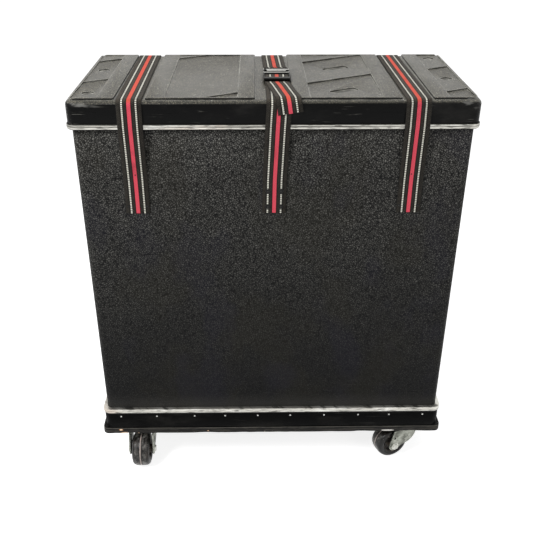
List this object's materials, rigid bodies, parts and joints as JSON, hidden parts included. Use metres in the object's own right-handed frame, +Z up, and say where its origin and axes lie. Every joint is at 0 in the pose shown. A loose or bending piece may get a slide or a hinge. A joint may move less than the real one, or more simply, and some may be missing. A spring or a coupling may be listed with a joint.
{
  "type": "drum hardware case",
  "caption": "Upright moulded case on a wheeled board, with a strapped lift-off lid, side-release buckles and end handles, for carrying drum stands.",
  "frame": {"origin": "middle of the footprint, on the floor that the casters stand on", "axes": "+Z up, -Y towards the front with the strap tail, +X to the right when seen from the front"},
  "size_m": [0.647, 0.332, 0.7223],
  "materials": {
    "grained_sheet": "grained black sheet",
    "moulded_plastic": "smooth moulded black plastic",
    "rim_metal": "bright rolled bead",
    "painted_plywood": "black painted plywood with chipped edges",
    "webbing": "striped woven webbing",
    "buckle_plastic": "moulded black plastic",
    "handle_steel": "plated steel",
    "grip_plastic": "black plastic",
    "zinc": "zinc plated steel",
    "tyre_rubber": "black rubber tread",
    "hub_plastic": "moulded black plastic"
  },
  "bodies": {
    "case": {"body_shell": "grained_sheet", "base_tray": "moulded_plastic", "base_rim": "rim_metal", "base_board": "painted_plywood", "left_strap_front": "webbing", "right_strap_front": "webbing", "centre_strap_front": "webbing", "centre_strap_rear": "webbing", "left_strap_anchor": "webbing", "right_strap_anchor": "webbing", "left_buckle_socket": "buckle_plastic", "right_buckle_socket": "buckle_plastic", "handle_left_loop_front": "handle_steel", "handle_left_loop_rear": "handle_steel", "handle_right_loop_front": "handle_steel", "handle_right_loop_rear": "handle_steel", "caster_front_left_plate": "zinc", "caster_front_left_kingpin": "zinc", "caster_front_right_plate": "zinc", "caster_front_right_kingpin": "zinc", "caster_rear_left_plate": "zinc", "caster_rear_left_kingpin": "zinc", "caster_rear_right_plate": "zinc", "caster_rear_right_kingpin": "zinc"},
    "lid": {"lid_shell": "moulded_plastic", "lid_rim": "rim_metal", "left_strap_over": "webbing", "right_strap_over": "webbing", "centre_strap_riser": "webbing", "centre_strap_back": "webbing", "centre_buckle_socket": "buckle_plastic"},
    "centre_plug": {"centre_buckle_plug": "buckle_plastic", "centre_strap_tail": "webbing"},
    "left_plug": {"left_buckle_plug": "buckle_plastic", "left_strap_tail": "webbing"},
    "right_plug": {"right_buckle_plug": "buckle_plastic", "right_strap_tail": "webbing"},
    "left_handle": {"handle_left_bail": "handle_steel", "handle_left_grip": "grip_plastic"},
    "right_handle": {"handle_right_bail": "handle_steel", "handle_right_grip": "grip_plastic"},
    "caster_front_left_swivel": {"caster_front_left_fork": "zinc", "caster_front_left_axle": "zinc"},
    "caster_front_left_wheel": {"caster_front_left_hub": "hub_plastic", "caster_front_left_tyre": "tyre_rubber"},
    "caster_front_right_swivel": {"caster_front_right_fork": "zinc", "caster_front_right_axle": "zinc"},
    "caster_front_right_wheel": {"caster_front_right_hub": "hub_plastic", "caster_front_right_tyre": "tyre_rubber"},
    "caster_rear_left_swivel": {"caster_rear_left_fork": "zinc", "caster_rear_left_axle": "zinc"},
    "caster_rear_left_wheel": {"caster_rear_left_hub": "hub_plastic", "caster_rear_left_tyre": "tyre_rubber"},
    "caster_rear_right_swivel": {"caster_rear_right_fork": "zinc", "caster_rear_right_axle": "zinc"},
    "caster_rear_right_wheel": {"caster_rear_right_hub": "hub_plastic", "caster_rear_right_tyre": "tyre_rubber"}
  },
  "joints": [
    {"name": "lid_lift", "type": "slide", "parent": "case", "child": "lid", "axis": [0, 0, 1], "range_m": [0, 0.09]},
    {"name": "centre_buckle_release", "type": "slide", "parent": "lid", "child": "centre_plug", "axis": [0, -1, 0], "range_m": [0, 0.025], "deforming": ["centre_strap_riser"]},
    {"name": "left_buckle_release", "type": "slide", "parent": "lid", "child": "left_plug", "axis": [0, 0, 1], "range_m": [0, 0.025], "deforming": ["left_strap_over"]},
    {"name": "right_buckle_release", "type": "slide", "parent": "lid", "child": "right_plug", "axis": [0, 0, 1], "range_m": [0, 0.025], "deforming": ["right_strap_over"]},
    {"name": "left_handle_swing", "type": "hinge", "parent": "case", "child": "left_handle", "pos_m": [-0.315, 0, 0.5], "axis": [0, 1, 0], "range_deg": [0, 180]},
    {"name": "right_handle_swing", "type": "hinge", "parent": "case", "child": "right_handle", "pos_m": [0.315, 0, 0.5], "axis": [0, -1, 0], "range_deg": [0, 180]},
    {"name": "caster_front_left_swivel_turn", "type": "hinge", "parent": "case", "child": "caster_front_left_swivel", "pos_m": [-0.2485, -0.10225, 0.075], "axis": [0, 0, 1], "continuous": true},
    {"name": "caster_front_left_wheel_roll", "type": "hinge", "parent": "caster_front_left_swivel", "child": "caster_front_left_wheel", "pos_m": [-0.2485, -0.13425, 0.03175], "axis": [1, 0, 0], "continuous": true},
    {"name": "caster_front_right_swivel_turn", "type": "hinge", "parent": "case", "child": "caster_front_right_swivel", "pos_m": [0.26, -0.10225, 0.075], "axis": [0, 0, 1], "continuous": true},
    {"name": "caster_front_right_wheel_roll", "type": "hinge", "parent": "caster_front_right_swivel", "child": "caster_front_right_wheel", "pos_m": [0.23012, -0.11372, 0.03175], "axis": [0.3584, -0.9336, 0], "continuous": true},
    {"name": "caster_rear_left_swivel_turn", "type": "hinge", "parent": "case", "child": "caster_rear_left_swivel", "pos_m": [-0.26, 0.10225, 0.075], "axis": [0, 0, 1], "continuous": true},
    {"name": "caster_rear_left_wheel_roll", "type": "hinge", "parent": "caster_rear_left_swivel", "child": "caster_rear_left_wheel", "pos_m": [-0.23012, 0.11372, 0.03175], "axis": [-0.3584, 0.9336, 0], "continuous": true},
    {"name": "caster_rear_right_swivel_turn", "type": "hinge", "parent": "case", "child": "caster_rear_right_swivel", "pos_m": [0.2485, 0.10225, 0.075], "axis": [0, 0, 1], "continuous": true},
    {"name": "caster_rear_right_wheel_roll", "type": "hinge", "parent": "caster_rear_right_swivel", "child": "caster_rear_right_wheel", "pos_m": [0.2485, 0.13425, 0.03175], "axis": [-1, 0, 0], "continuous": true}
  ]
}
